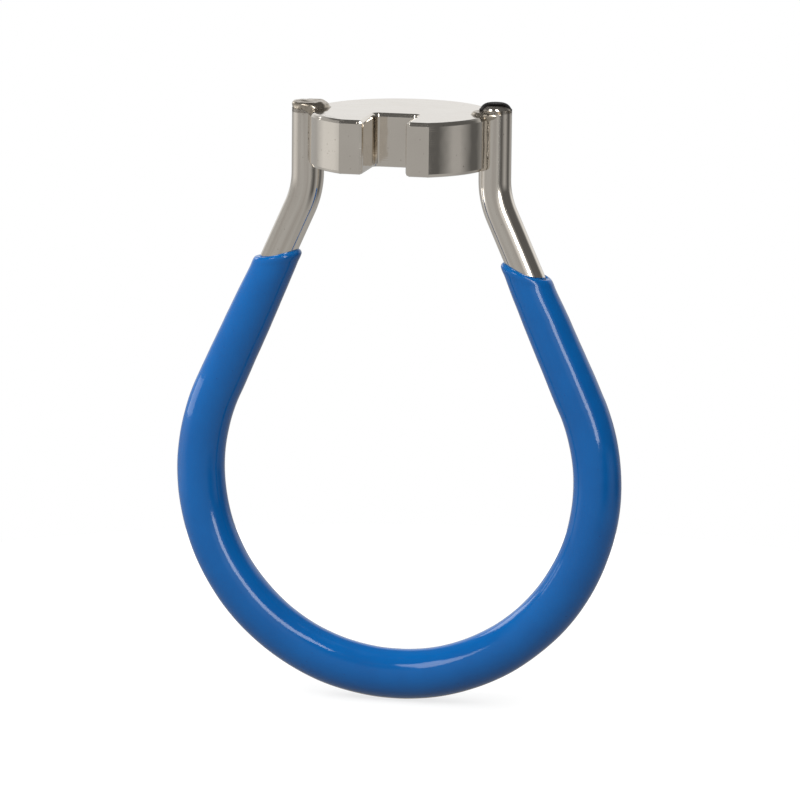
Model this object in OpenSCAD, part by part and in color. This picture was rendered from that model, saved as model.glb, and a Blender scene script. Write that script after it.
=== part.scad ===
// Spoke wrench: a slotted round head with a bent wire loop brazed to its sides and a vinyl dip
// coat over the loop. Millimetres, +Z up along the axis of the spoke nipple it turns.
// The origin is on that axis, halfway up the head, where the nipple sits in the slot. The slot
// opens towards -Y, and the loop hangs below the head in a plane behind the spoke.

/* [Head] */
// Diameter of the round head
head_d = 17; // [15:0.5:22]
// Thickness of the head along the nipple
head_t = 5; // [4:0.1:8]
// Bevel round the head's top and bottom rims
rim_bevel = 0.35; // [0.1:0.05:0.6]
// How much of the rim the flat beside the slot's mouth takes off
flat_cut = 1.1; // [0.6:0.1:1.6]

/* [Nipple slot] */
// Width of the slot, a close fit on the nipple's square
slot_w = 3.96; // [3.2:0.01:4.4]
// Radius in the slot's two inner corners
slot_corner_r = 0.4; // [0.2:0.05:0.8]
// Bevel along the slot's edges, which leads the nipple in
slot_lead = 0.3; // [0.1:0.05:0.6]
// Diameter of the thickest spoke that passes in front of the loop
spoke_d = 2; // [1.8:0.1:2.4]
// Gap between that spoke and the coated loop
spoke_clear = 0.7; // [0.3:0.05:1.2]

/* [Wire loop] */
// Diameter of the wire
wire_d = 3; // [2.5:0.1:3.6]
// How far the wire's axis lies outside the head's rim
wire_outset = 0.3; // [0:0.05:0.5]
// Height of the left wire end above the head
left_rise = 0.5; // [0.3:0.1:2]
// Height of the right wire end above the head
right_rise = 1.1; // [0.3:0.1:2]
// Rounding of the wire ends
end_round = 0.7; // [0.3:0.05:1.1]
// Straight wire between the lower braze bead and the outward bend
neck = 0.3; // [0.1:0.1:2]
// Radius of the outward bends, at the wire's axis
bend_r = 8; // [5:0.5:12]
// How much the wire's radius shrinks where it is bent
bend_thin = 0.01; // [0.01:0.01:0.03]
// Angle of the straight arms from the vertical
arm_angle = 24; // [18:1:30]
// Radius of the finger loop, at the wire's axis
loop_r = 18.8; // [16:0.1:24]

/* [Dip coat] */
// Thickness of the coat round the finger loop
coat_t = 0.8; // [0.5:0.05:1.4]
// Thickness of the coat at its upper edge
coat_edge_t = 0.4; // [0.2:0.05:0.5]
// Bare wire between the bend and the coat's upper edge, along the arm
bare_arm = 5.2; // [3:0.1:8]
// Fall of the coat's upper edge from the inner to the outer side of each arm, in degrees
dip_fall = 18; // [0:1:25]
// Lean of the whole dip line, lower on the right, in degrees
dip_lean = 1.7; // [-3:0.1:3]

/* [Braze] */
// Gap between wire and groove that the braze fills
braze_gap = 0.1; // [0.05:0.01:0.2]
// Radius of the hollow braze fillets between wire and rim
fillet_r = 0.7; // [0.4:0.05:1]
// Contact angle at which those fillets run out, in degrees
wet_angle = 20; // [10:1:30]
// Height of the bead round each wire, over the head and under it
bead_h = 0.7; // [0.4:0.05:1]
// How far the bead leans from the wire towards the head
bead_shift = 0.35; // [0.2:0.05:0.6]
// How far the bead reaches past the wire's outer side
bead_lip = 0.1; // [0.05:0.05:0.3]

/* [Hidden] */
$fn = 64;

steel_colour = "#c9c4bd";
braze_colour = "#b5aea4";
vinyl_colour = "#1f62a8";

// Lets a cut run past the face it opens
over = 1;
// How far a straight stretch of the wire runs into the bend beside it
lap = 0.1;

head_r = head_d / 2;
top_z = head_t / 2;
flat_y = -(head_r - flat_cut);

wire_r = wire_d / 2;
coated_r = wire_r + coat_t;
edge_r = wire_r + coat_edge_t;
bent_r = wire_r - bend_thin;
groove_r = wire_r + braze_gap;
leg_x = head_r + wire_outset;

// The nipple sits far enough forward for its spoke to pass in front of the coated loop.
nipple_offset = coated_r + spoke_clear + spoke_d / 2;
slot_end_y = -(nipple_offset - slot_w / 2);

// The wire's axis on +X: a leg, a bend, an arm at arm_angle and half of the finger loop
bend_z = -(top_z + bead_h + neck);
arm_len = ((bend_r + loop_r) * cos(arm_angle) - leg_x - bend_r) / sin(arm_angle);
arm_foot_z = bend_z - bend_r * sin(arm_angle) - arm_len * cos(arm_angle);
loop_z = arm_foot_z - loop_r * sin(arm_angle);

// Where the coat's upper edge crosses an arm's axis, measured up the arm from its foot
dip_run = arm_len - bare_arm;
dip_x = loop_r * cos(arm_angle) - dip_run * sin(arm_angle);
dip_z = arm_foot_z + dip_run * cos(arm_angle);
coat_taper = (coated_r - edge_r) / dip_run;

// Centre of a fillet circle that meets the rim and the wire at the contact angle
fillet_to_head = sqrt(head_r ^ 2 + fillet_r ^ 2 + 2 * head_r * fillet_r * cos(wet_angle));
fillet_to_wire = sqrt(wire_r ^ 2 + fillet_r ^ 2 + 2 * wire_r * fillet_r * cos(wet_angle));
fillet_x = (fillet_to_head ^ 2 - fillet_to_wire ^ 2 + leg_x ^ 2) / (2 * leg_x);
fillet_y = sqrt(fillet_to_head ^ 2 - fillet_x ^ 2);

// A bead is a lens, whose two round faces have this radius.
bead_r = wire_r + bead_shift + bead_lip;
bead_ball_r = (bead_r ^ 2 + bead_h ^ 2) / (2 * bead_h);

// Puts the head's axis behind the nipple's, with its children drawn round the head's axis
module from_head_axis() {
    translate([0, nipple_offset, 0])
        children();
}

// Draws its children, which are made for the right side (1), on that side or the left (-1)
module on_side(side) {
    mirror([side < 0 ? 1 : 0, 0, 0])
        children();
}

// Draws its children, which are made for the top (1), at that level or the bottom (-1)
module at_level(level) {
    mirror([0, 0, level < 0 ? 1 : 0])
        children();
}

// Part of a ring in the XZ plane that starts at +X and turns upwards, with its children as the
// section
module ring_arc(radius, angle) {
    rotate([90, 0, 0])
        rotate_extrude(angle = angle, $fn = 128)
            translate([radius, 0])
                children();
}

// Profile of the blank in the YZ plane, flat and bevelled in front
module blank_side_view() {
    inner = top_z - rim_bevel;
    back = head_r + over;
    polygon([
        [flat_y, -inner], [flat_y + rim_bevel, -top_z], [back, -top_z],
        [back, top_z], [flat_y + rim_bevel, top_z], [flat_y, inner]
    ]);
}

// The head before its slot and grooves are cut
module blank() {
    inner = top_z - rim_bevel;
    intersection() {
        rotate_extrude($fn = 128)
            polygon([
                [0, -top_z], [head_r - rim_bevel, -top_z], [head_r, -inner],
                [head_r, inner], [head_r - rim_bevel, top_z], [0, top_z]
            ]);
        rotate([90, 0, 90])
            linear_extrude(head_d + 2 * over, center = true)
                blank_side_view();
    }
}

// Plan of the slot: square to the nipple, with small radii in the inner corners
module slot_plan() {
    mouth_y = -(head_r + over);
    corner = [slot_w / 2 - slot_corner_r, slot_end_y - slot_corner_r];
    translate([-slot_w / 2, mouth_y])
        square([slot_w, corner.y - mouth_y]);
    translate([-corner.x, mouth_y])
        square([2 * corner.x, slot_end_y - mouth_y]);
    for (side = [-1, 1])
        translate([side * corner.x, corner.y])
            circle(slot_corner_r);
}

// Bevels along the slot's upper and lower edges and down the two edges of its mouth
module slot_leads() {
    half = slot_w / 2;
    lead_end_y = slot_end_y - slot_corner_r;
    for (side = [-1, 1])
        on_side(side) {
            for (level = [-1, 1])
                at_level(level)
                    translate([0, lead_end_y, 0])
                        rotate([90, 0, 0])
                            linear_extrude(head_r + over + lead_end_y)
                                polygon([
                                    [half - over, top_z - slot_lead], [half, top_z - slot_lead],
                                    [half + slot_lead, top_z], [half + slot_lead, top_z + over],
                                    [half - over, top_z + over]
                                ]);
            linear_extrude(head_t + 2 * over, center = true)
                polygon([
                    [half - over, flat_y - over], [half + slot_lead, flat_y - over],
                    [half + slot_lead, flat_y], [half, flat_y + slot_lead],
                    [half - over, flat_y + slot_lead]
                ]);
        }
}

module head_body() {
    difference() {
        blank();
        linear_extrude(head_t + 2 * over, center = true)
            slot_plan();
        slot_leads();
        for (side = [-1, 1])
            translate([side * leg_x, 0, 0])
                cylinder(h = head_t + 2 * over, r = groove_r, center = true);
    }
}

module head() {
    color(steel_colour)
        from_head_axis()
            head_body();
}

// Puts its children where the right leg meets its bend
module at_leg_foot() {
    translate([leg_x, 0, bend_z])
        children();
}

// Puts its children at the foot of the right arm, which stands along Z there
module at_arm_foot() {
    at_leg_foot()
        translate([bend_r, 0, 0])
            rotate([0, -arm_angle, 0])
                translate([-bend_r, 0, -arm_len])
                    children();
}

// The finger loop between the feet of both arms, with its children as the section
module finger_loop() {
    translate([0, 0, loop_z])
        rotate([0, arm_angle - 180, 0])
            ring_arc(loop_r, 180 + 2 * arm_angle)
                children();
}

// Upright end of the wire, drawn up from the bend and rounded at the top
module leg(rise) {
    flat_r = wire_r - end_round;
    height = top_z - bend_z + rise;
    rotate_extrude() {
        translate([0, -lap]) {
            square([flat_r, lap + height]);
            square([wire_r, lap + height - end_round]);
        }
        translate([flat_r, height - end_round])
            intersection() {
                circle(end_round);
                square(end_round);
            }
    }
}

// The wire from its right end to the foot of the right arm
module wire_side(rise) {
    at_leg_foot() {
        leg(rise);
        translate([bend_r, 0, 0])
            mirror([1, 0, 0])
                mirror([0, 0, 1])
                    ring_arc(bend_r, arm_angle)
                        circle(bent_r);
    }
    at_arm_foot()
        translate([0, 0, -lap])
            cylinder(h = arm_len + 2 * lap, r = wire_r);
}

module wire_body() {
    on_side(-1)
        wire_side(left_rise);
    on_side(1)
        wire_side(right_rise);
    finger_loop()
        circle(bent_r);
}

module handle_wire() {
    color(steel_colour)
        from_head_axis()
            wire_body();
}

// Plan of the braze between wire and rim, as wide as its two hollow fillets
module braze_plan() {
    inner = (leg_x - groove_r - braze_gap) / fillet_x;
    difference() {
        polygon([
            [inner * fillet_x, inner * fillet_y], [fillet_x, fillet_y], [leg_x, 0],
            [fillet_x, -fillet_y], [inner * fillet_x, -inner * fillet_y]
        ]);
        for (y = [-fillet_y, fillet_y])
            translate([fillet_x, y])
                circle(fillet_r);
    }
}

// Lens-shaped bead round the wire, half above and half below the plane it is drawn on
module bead() {
    translate([leg_x - bead_shift, 0, 0])
        rotate_extrude()
            intersection() {
                translate([0, bead_h - bead_ball_r])
                    circle(bead_ball_r, $fn = 128);
                translate([0, bead_ball_r - bead_h])
                    circle(bead_ball_r, $fn = 128);
                translate([0, -bead_h])
                    square([bead_r, 2 * bead_h]);
            }
}

// Braze of the right side: the film in the groove, the fillets beside it and the two beads
module braze(rise) {
    color(braze_colour)
        from_head_axis()
            difference() {
                union() {
                    linear_extrude(head_t, center = true)
                        braze_plan();
                    for (level = [-1, 1])
                        at_level(level)
                            translate([0, 0, top_z])
                                bead();
                }
                head_body();
                at_leg_foot()
                    leg(rise);
            }
}

module left_braze() {
    on_side(-1)
        braze(left_rise);
}

module right_braze() {
    on_side(1)
        braze(right_rise);
}

// Height of the dip line on one side, at that distance from the middle plane
function dip_level(side, x) =
    dip_z - side * dip_x * tan(dip_lean) - (x - dip_x) * tan(dip_fall + side * dip_lean);

// What lies below the dip lines of both arms
module dipped_zone() {
    reach = loop_r + coated_r + over;
    rotate([90, 0, 0])
        linear_extrude(2 * (coated_r + over), center = true)
            polygon([
                [-reach, loop_z - reach], [reach, loop_z - reach],
                [reach, dip_level(1, reach)], [0, dip_level(1, 0)],
                [0, dip_level(-1, 0)], [-reach, dip_level(-1, reach)]
            ]);
}

// Tapered coat of an arm, which runs past the dip line and is cut there
module sleeve() {
    run = dip_run + 2 * edge_r;
    rotate_extrude()
        polygon([
            [0, -lap], [coated_r + coat_taper * lap, -lap],
            [coated_r - coat_taper * run, run], [0, run]
        ]);
}

module coat_body() {
    finger_loop()
        circle(bent_r + coat_t);
    for (side = [-1, 1])
        on_side(side)
            at_arm_foot()
                sleeve();
}

module grip() {
    color(vinyl_colour)
        from_head_axis()
            difference() {
                intersection() {
                    coat_body();
                    dipped_zone();
                }
                wire_body();
            }
}

head();
handle_wire();
left_braze();
right_braze();
grip();
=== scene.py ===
import math
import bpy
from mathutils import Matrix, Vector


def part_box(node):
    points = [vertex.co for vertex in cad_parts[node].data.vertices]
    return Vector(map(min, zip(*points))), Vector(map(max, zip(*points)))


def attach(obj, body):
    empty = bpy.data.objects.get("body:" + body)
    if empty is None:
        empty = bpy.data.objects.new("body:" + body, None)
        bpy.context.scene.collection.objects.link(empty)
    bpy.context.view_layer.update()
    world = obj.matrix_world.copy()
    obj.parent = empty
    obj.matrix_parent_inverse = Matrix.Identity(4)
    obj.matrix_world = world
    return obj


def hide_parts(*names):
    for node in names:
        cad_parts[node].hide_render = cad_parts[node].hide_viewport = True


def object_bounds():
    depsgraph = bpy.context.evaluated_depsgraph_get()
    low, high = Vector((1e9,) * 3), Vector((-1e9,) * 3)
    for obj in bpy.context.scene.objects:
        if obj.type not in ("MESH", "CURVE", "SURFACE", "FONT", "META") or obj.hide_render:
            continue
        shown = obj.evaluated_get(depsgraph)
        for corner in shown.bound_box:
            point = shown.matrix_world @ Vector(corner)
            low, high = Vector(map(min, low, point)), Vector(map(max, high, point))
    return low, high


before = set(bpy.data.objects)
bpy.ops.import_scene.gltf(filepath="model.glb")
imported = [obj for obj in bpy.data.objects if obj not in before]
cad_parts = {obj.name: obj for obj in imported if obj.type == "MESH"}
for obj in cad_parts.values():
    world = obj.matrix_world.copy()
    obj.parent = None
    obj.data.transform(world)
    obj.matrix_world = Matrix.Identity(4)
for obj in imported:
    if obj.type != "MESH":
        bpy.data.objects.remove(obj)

from types import SimpleNamespace

import bmesh
import bpy
from mathutils import Matrix, Vector, noise

bl_info = {
    "name": "Spoke wrench",
    "version": (1, 0, 0),
    "blender": (4, 5, 0),
    "location": "View3D > Sidebar > Spoke wrench",
    "description": "Models a slotted round head, its brazed wire loop and the vinyl dip coat on it",
    "category": "Add Mesh",
}

# Pieces are modelled in millimetres and brought to metres at the end.
MM = 0.001
CAD_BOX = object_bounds()
HEAD_LOW, HEAD_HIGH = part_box("head")
WIRE_LOW, WIRE_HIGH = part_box("handle_wire")
HEAD_AXIS_Y = 0.004
BODY = "root"


# Sizes and colours

def linear(code, alpha=1.0):
    """Linear colour of an sRGB hex value."""
    channels = [int(code[i:i + 2], 16) / 255 for i in (1, 3, 5)]
    return [c / 12.92 if c <= 0.04045 else ((c + 0.055) / 1.055) ** 2.4 for c in channels] + [alpha]


def length(name, description, millimetres):
    """Property for a length, given in millimetres and kept in metres."""
    return bpy.props.FloatProperty(
        name=name, description=description, default=millimetres * MM, min=0.0, precision=5, unit="LENGTH"
    )


def angle(name, description, degrees):
    """Property for an angle, given in degrees."""
    return bpy.props.FloatProperty(
        name=name, description=description, default=math.radians(degrees), subtype="ANGLE"
    )


def colour(name, description, code):
    """Property for a colour, given as an sRGB hex value."""
    return bpy.props.FloatVectorProperty(
        name=name, description=description, default=linear(code), size=4, min=0.0, max=1.0, subtype="COLOR"
    )


class WrenchSizes(bpy.types.PropertyGroup):
    """Sizes of the wrench."""
    head_width: length("Head width", "Diameter of the round head", 17.0)
    flat_cut: length("Flat cut", "How much of the rim the flat beside the slot takes off", 1.1)
    edge_break: length("Edge break", "Bevel round the head's faces and along the slot", 0.33)
    edge_soft: length("Soft edge", "Rounding that the plating leaves on every edge", 0.05)
    slot_width: length("Slot width", "Width of the slot for the nipple's square", 3.96)
    slot_corner: length("Slot corner", "Radius in the slot's two inner corners", 0.4)
    wire_width: length("Wire width", "Diameter of the wire", 3.0)
    wire_outset: length("Wire outset", "How far the wire's axis lies outside the rim", 0.3)
    groove_gap: length("Groove gap", "Gap between wire and groove that the braze fills", 0.1)
    leg_drop: length("Leg drop", "Straight wire under the head, down to the bend", 1.0)
    bend_radius: length("Bend radius", "Radius of the outward bends at the wire's axis", 8.0)
    arm_angle: angle("Arm angle", "Lean of the straight arms from the vertical", 24.0)
    loop_radius: length("Loop radius", "Radius of the finger loop at the wire's axis", 18.8)
    left_rise: length("Left rise", "Height of the left wire end over the head", 0.5)
    right_rise: length("Right rise", "Height of the right wire end over the head", 1.1)
    end_round: length("End rounding", "Rounding of the wire's ends", 0.9)
    coat_edge: length("Coat at its edge", "Thickness of the coat just below the dip line", 0.38)
    coat_side: length("Coat at the sides", "Thickness of the coat on the sides of the loop", 0.74)
    coat_sag: length("Coat sag", "Extra thickness inside the bottom of the loop", 0.2)
    coat_lip: length("Coat lip", "Rounding of the coat's upper edge", 0.3)
    bare_arm: length("Bare arm", "Bare wire between the bend and the dip line", 5.2)
    dip_fall: angle("Dip fall", "Fall of the dip line towards the outer side", 10.5)
    dip_lean: angle("Dip lean", "Lean of the whole dip line, lower on the right", 3.9)
    dip_shift: length("Dip shift", "Half of how much lower the coat begins on the right", 0.29)


class WrenchColours(bpy.types.PropertyGroup):
    """Colours of the wrench and its stage."""
    nickel: colour("Nickel", "Bright nickel plating", "#E8E1D6")
    nickel_shade: colour("Shaded nickel", "Nickel in scratches and pits", "#BBB0A4")
    braze: colour("Plated braze", "Braze under thin plating", "#B8AE9F")
    braze_shade: colour("Bare braze", "Braze in pits that plating missed", "#665A4D")
    vinyl: colour("Vinyl", "Blue of the dip coat where it is thick", "#004F8D")
    vinyl_thin: colour("Thin vinyl", "Blue of the dip coat at its thin edge", "#055895")
    vinyl_deep: colour("Deep vinyl", "Darker cloud in the dip coat", "#004985")
    dust: colour("Dust", "Specks of dust in the dip coat", "#0A2F66")
    # Dark colour for a painted reflection of a dark rim over the right wire end, with painted shade in its
    # corner, and for dark spots on the left wire end
    burnt: colour("Burnt flux", "Black scale that the flame left on a wire end", "#1D1916")
    floor: colour("Floor", "Grey studio floor, under its white light", "#7E7E7D")
    grey_wall: colour("Grey wall", "Floor cloth and lower studio walls, as metal sees them", "#B0B0B0")
    white_wall: colour("White wall", "Upper part of the studio walls", "#F0F0F0")
    ceiling: colour("Ceiling", "Dim studio ceiling", "#606060")
    pale_card: colour("Pale card", "Card that gives metal its light bands", "#E0E0E0")
    dark_card: colour("Dark card", "Card that gives metal its dark bands", "#606060")


def wrench_path(sizes):
    """The wire's path and the sizes that follow from it, in millimetres, round the head's axis."""
    p = SimpleNamespace()
    p.axis_y = (WIRE_LOW.y + WIRE_HIGH.y) / 2 / MM
    p.top_z = HEAD_HIGH.z / MM
    p.head_r = sizes.head_width / 2 / MM
    p.wire_r = sizes.wire_width / 2 / MM
    p.leg_x = p.head_r + sizes.wire_outset / MM
    p.bend_r = sizes.bend_radius / MM
    p.loop_r = sizes.loop_radius / MM
    p.bend_z = -(p.top_z + sizes.leg_drop / MM)
    p.sin, p.cos = math.sin(sizes.arm_angle), math.cos(sizes.arm_angle)
    p.arm_len = ((p.bend_r + p.loop_r) * p.cos - p.leg_x - p.bend_r) / p.sin
    p.foot = Vector((p.loop_r * p.cos, p.bend_z - p.bend_r * p.sin - p.arm_len * p.cos))
    p.loop_z = p.foot.y - p.loop_r * p.sin
    p.up = Vector((-p.sin, p.cos))
    p.out = Vector((p.cos, p.sin))
    p.half_turn = math.pi / 2 + sizes.arm_angle
    return p


def along_wire(path, co):
    """Distance along the wire from the bottom of the loop, positive on the right, and the offset
    from the wire's axis, outwards in the loop's plane and across it."""
    side = -1 if co.x < 0 else 1
    point = Vector((abs(co.x), co.z))
    run = (point - path.foot).dot(path.up)
    if run <= 0:
        reach = point - Vector((0, path.loop_z))
        distance = path.loop_r * math.atan2(reach.x, -reach.y)
        outward = reach.length - path.loop_r
    elif run <= path.arm_len:
        distance = path.loop_r * path.half_turn + run
        outward = (point - path.foot).dot(path.out)
    else:
        reach = point - Vector((path.leg_x + path.bend_r, path.bend_z))
        distance = path.loop_r * path.half_turn + path.arm_len + path.bend_r * math.asin(path.sin)
        if reach.y > 0:
            distance += reach.y
            outward = point.x - path.leg_x
        else:
            distance -= path.bend_r * math.atan2(-reach.y, -reach.x)
            outward = path.bend_r - reach.length
    return side * distance, outward, co.y - path.axis_y


# Modelling by hand

def deselect():
    """Leaves nothing selected, in object mode."""
    if bpy.context.object and bpy.context.object.mode != "OBJECT":
        bpy.ops.object.mode_set(mode="OBJECT")
    bpy.ops.object.select_all(action="DESELECT")


def choose(obj):
    """Makes one object the only selected and the active one."""
    deselect()
    obj.select_set(True)
    bpy.context.view_layer.objects.active = obj


def edit(obj, mode):
    """Opens an object in edit mode, selecting vertices, edges or faces, with nothing selected."""
    choose(obj)
    bpy.ops.object.mode_set(mode="EDIT")
    bpy.ops.mesh.select_mode(type=mode)
    bpy.ops.mesh.select_all(action="DESELECT")


def pick(obj, mode, wanted):
    """Selects the vertices, edges or faces of an object in edit mode that pass a test."""
    mesh = bmesh.from_edit_mesh(obj.data)
    elements = {"VERT": mesh.verts, "EDGE": mesh.edges, "FACE": mesh.faces}[mode]
    for element in elements:
        element.select_set(wanted(element))
    mesh.select_flush_mode()
    bmesh.update_edit_mesh(obj.data)


def add_modifier(obj, kind, **settings):
    """Adds a modifier, sets it and applies it."""
    choose(obj)
    modifier = obj.modifiers.new(kind.lower(), kind)
    for name, value in settings.items():
        setattr(modifier, name, value)
    bpy.ops.object.modifier_apply(modifier=modifier.name)


def cut(obj, cutter, solver="EXACT"):
    """Cuts one solid by another, and deletes the other."""
    add_modifier(obj, "BOOLEAN", operation="DIFFERENCE", solver=solver, object=cutter)
    bpy.data.objects.remove(cutter)


def shape(obj, move):
    """Moves each vertex of an object by a rule."""
    for vertex in obj.data.vertices:
        vertex.co = move(vertex.co)
    obj.data.update()


def place_on_wire(obj, path):
    """Keeps each vertex's place on the straightened wire as an attribute, in metres."""
    attribute = obj.data.attributes.new("on_wire", "FLOAT_VECTOR", "POINT")
    for vertex in obj.data.vertices:
        distance, outward, across = along_wire(path, vertex.co)
        attribute.data[vertex.index].vector = Vector((outward, across, distance)) * MM


def paint_dark_reflection_and_spots(obj, path):
    """Marks a dark hood over the right wire end, painted reflection and painted shade, and dark spots on
    the left one.
    """
    hood_height, rise_in_front, fall_inward, ragged, fade = 0.3, 0.55, 1.1, 0.12, 0.2
    spots_above, spot_strength, spot_start, spot_fade = 0.05, 0.7, 0.12, 0.1
    inner_side = path.leg_x - 0.6
    attribute = obj.data.attributes.new("burnt", "FLOAT", "POINT")
    for vertex in obj.data.vertices:
        co = vertex.co
        patch = noise.noise(co * 1.4)
        front = (path.axis_y - co.y) / path.wire_r
        # Right end: a painted dark reflection of a rim above, with painted shade where it drops into the
        # corner by the head
        if co.x > 0:
            inward = max(0.0, inner_side - co.x)
            edge = path.top_z + hood_height + rise_in_front * front - fall_inward * inward + ragged * patch
            share = (co.z - edge) / fade
        # Left end: dark spots over the top
        elif co.z > path.top_z + spots_above:
            share = spot_strength * (patch - spot_start) / spot_fade
        else:
            share = 0.0
        attribute.data[vertex.index].value = min(1.0, max(0.0, share)) if co.z > 0 else 0.0


def finish_piece(obj, name, material, slot, *nodes):
    """Brings a piece from millimetres to metres and hands it to the frame."""
    choose(obj)
    bpy.ops.transform.resize(value=(MM, MM, MM), center_override=(0, 0, 0))
    bpy.ops.object.transform_apply(location=True, rotation=True, scale=True)
    obj.name = obj.data.name = name
    obj.data.materials.clear()
    obj.data.materials.append(material)
    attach(obj, BODY)
    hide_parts(*nodes)


def copy_in_mm(name):
    """Copy of a finished piece or of a CAD node, in millimetres."""
    obj = bpy.data.objects[name].copy()
    obj.data = obj.data.copy()
    obj.parent = None
    for key in list(obj.keys()):
        del obj[key]
    bpy.context.scene.collection.objects.link(obj)
    obj.hide_set(False)
    obj.hide_render = False
    choose(obj)
    bpy.ops.transform.resize(value=(1 / MM,) * 3, center_override=(0, 0, 0))
    bpy.ops.object.transform_apply(location=True, rotation=True, scale=True)
    return obj


def extrude_along(vector, steps):
    """Extrudes the selected ring in equal steps."""
    for _ in range(steps):
        bpy.ops.mesh.extrude_region_move(TRANSFORM_OT_translate={"value": vector / steps})


def spin_about(path, x, z, turn, steps):
    """Spins the selected ring about an axis that runs across the loop's plane; a positive turn goes
    from up to right, which Blender's spin counts as negative."""
    bpy.ops.mesh.spin(steps=steps, angle=-turn, center=(x, path.axis_y, z), axis=(0, 1, 0))


# Materials

def add_node(tree, kind, settings=None, links=None, stops=None):
    """Adds a node, sets its properties and sockets, links its inputs and fills in its colour stops."""
    node = tree.nodes.new(kind)
    for name, value in (settings or {}).items():
        if isinstance(name, str) and hasattr(node, name):
            setattr(node, name, value)
        else:
            node.inputs[name].default_value = value
    for name, source in (links or {}).items():
        tree.links.new(source, node.inputs[name])
    if stops:
        while len(node.color_ramp.elements) < len(stops):
            node.color_ramp.elements.new(1.0)
        for element, (position, value) in zip(node.color_ramp.elements, stops):
            element.position = position
            element.color = value
    return node


def new_material(name):
    """New material with only its output node."""
    material = bpy.data.materials.new(name)
    material.use_nodes = True
    material.node_tree.nodes.clear()
    return material, material.node_tree


def per_mm(millimetres):
    """Noise scale whose features have that size, on coordinates in metres."""
    return 1 / (millimetres * MM)


def nickel_plated_turned_steel(colours):
    """Mild steel, turned and milled, then bright nickel plated: it reflects like a clean metal, and
    the plating follows the fine rings and lines that the cutter left."""
    material, tree = new_material("nickel_plated_turned_steel")
    place = add_node(tree, "ShaderNodeTexCoord")
    spot = add_node(tree, "ShaderNodeMapping", {"Location": (0, -HEAD_AXIS_Y, 0)},
                    {"Vector": place.outputs["Object"]})
    wobble = add_node(tree, "ShaderNodeTexNoise", {"Scale": per_mm(3.0), "Detail": 2.0},
                      {"Vector": spot.outputs[0]})
    # Feed marks lie 0.16 mm apart, as a finishing cut leaves them.
    rings = add_node(tree, "ShaderNodeTexWave",
                     {"wave_type": "RINGS", "rings_direction": "Z", "Scale": 0.1 * math.pi / (0.16 * MM),
                      "Distortion": 0.6, "Detail": 2.0, "Detail Scale": 1.4}, {"Vector": spot.outputs[0]})
    lines = add_node(tree, "ShaderNodeTexWave",
                     {"wave_type": "BANDS", "bands_direction": "Z", "Scale": 0.1 * math.pi / (0.2 * MM),
                      "Distortion": 0.8, "Detail": 2.0, "Detail Scale": 1.2}, {"Vector": spot.outputs[0]})
    facing = add_node(tree, "ShaderNodeSeparateXYZ", links={0: place.outputs["Normal"]})
    level = add_node(tree, "ShaderNodeMath", {"operation": "ABSOLUTE"}, {0: facing.outputs["Z"]})
    on_face = add_node(tree, "ShaderNodeMath", {"operation": "GREATER_THAN", 1: 0.9}, {0: level.outputs[0]})
    marks = add_node(tree, "ShaderNodeMix", {"data_type": "FLOAT"},
                     {0: on_face.outputs[0], 2: lines.outputs["Fac"], 3: rings.outputs["Fac"]})
    # Hair scratches, 0.1 mm apart and a few millimetres long
    drawn_out = add_node(tree, "ShaderNodeMapping",
                         {"Rotation": (0.3, 0.5, 0.7), "Scale": (1.0, 0.04, 1.0)},
                         {"Vector": spot.outputs[0]})
    hairs = add_node(tree, "ShaderNodeTexNoise", {"Scale": per_mm(0.1), "Detail": 4.0, "Roughness": 0.7},
                     {"Vector": drawn_out.outputs[0]})
    scratch = add_node(tree, "ShaderNodeMapRange", {"From Min": 0.6, "From Max": 0.72},
                       {"Value": hairs.outputs["Fac"]})
    pits = add_node(tree, "ShaderNodeTexVoronoi", {"Scale": per_mm(0.7)},
                    {"Vector": spot.outputs[0]})
    pit = add_node(tree, "ShaderNodeMapRange", {"From Min": 0.1, "From Max": 0.05},
                   {"Value": pits.outputs["Distance"]})
    smudge = add_node(tree, "ShaderNodeTexNoise", {"Scale": per_mm(4.0), "Detail": 5.0, "Roughness": 0.6},
                      {"Vector": spot.outputs[0]})
    shade = add_node(tree, "ShaderNodeMath", {"operation": "MULTIPLY", 1: 0.22},
                     {0: wobble.outputs["Fac"]})
    worn = add_node(tree, "ShaderNodeMath", {"operation": "MAXIMUM"},
                    {0: shade.outputs[0], 1: pit.outputs[0]})
    tone = add_node(tree, "ShaderNodeMix",
                    {"data_type": "RGBA", 6: colours.nickel, 7: colours.nickel_shade},
                    {0: worn.outputs[0]})
    dull = add_node(tree, "ShaderNodeMapRange",
                    {"From Min": 0.35, "From Max": 0.7, "To Min": 0.05, "To Max": 0.11},
                    {"Value": smudge.outputs["Fac"]})
    rough = add_node(tree, "ShaderNodeMath", {"operation": "MULTIPLY_ADD", 1: 0.1},
                     {0: scratch.outputs[0], 2: dull.outputs[0]})
    uneven = add_node(tree, "ShaderNodeBump", {"Strength": 1.0, "Distance": 0.05 * MM},
                      {"Height": wobble.outputs["Fac"]})
    fine = add_node(tree, "ShaderNodeBump", {"Strength": 0.1, "Distance": 0.01 * MM},
                    {"Height": marks.outputs[0], "Normal": uneven.outputs[0]})
    deep = add_node(tree, "ShaderNodeBump", {"Strength": 0.3, "Distance": 0.015 * MM, "invert": True},
                    {"Height": pit.outputs[0], "Normal": fine.outputs[0]})
    skin = add_node(tree, "ShaderNodeBsdfPrincipled", {"Metallic": 1.0},
                    {"Base Color": tone.outputs[2], "Roughness": rough.outputs[0],
                     "Normal": deep.outputs[0]})
    add_node(tree, "ShaderNodeOutputMaterial", links={"Surface": skin.outputs[0]})
    return material


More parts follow.
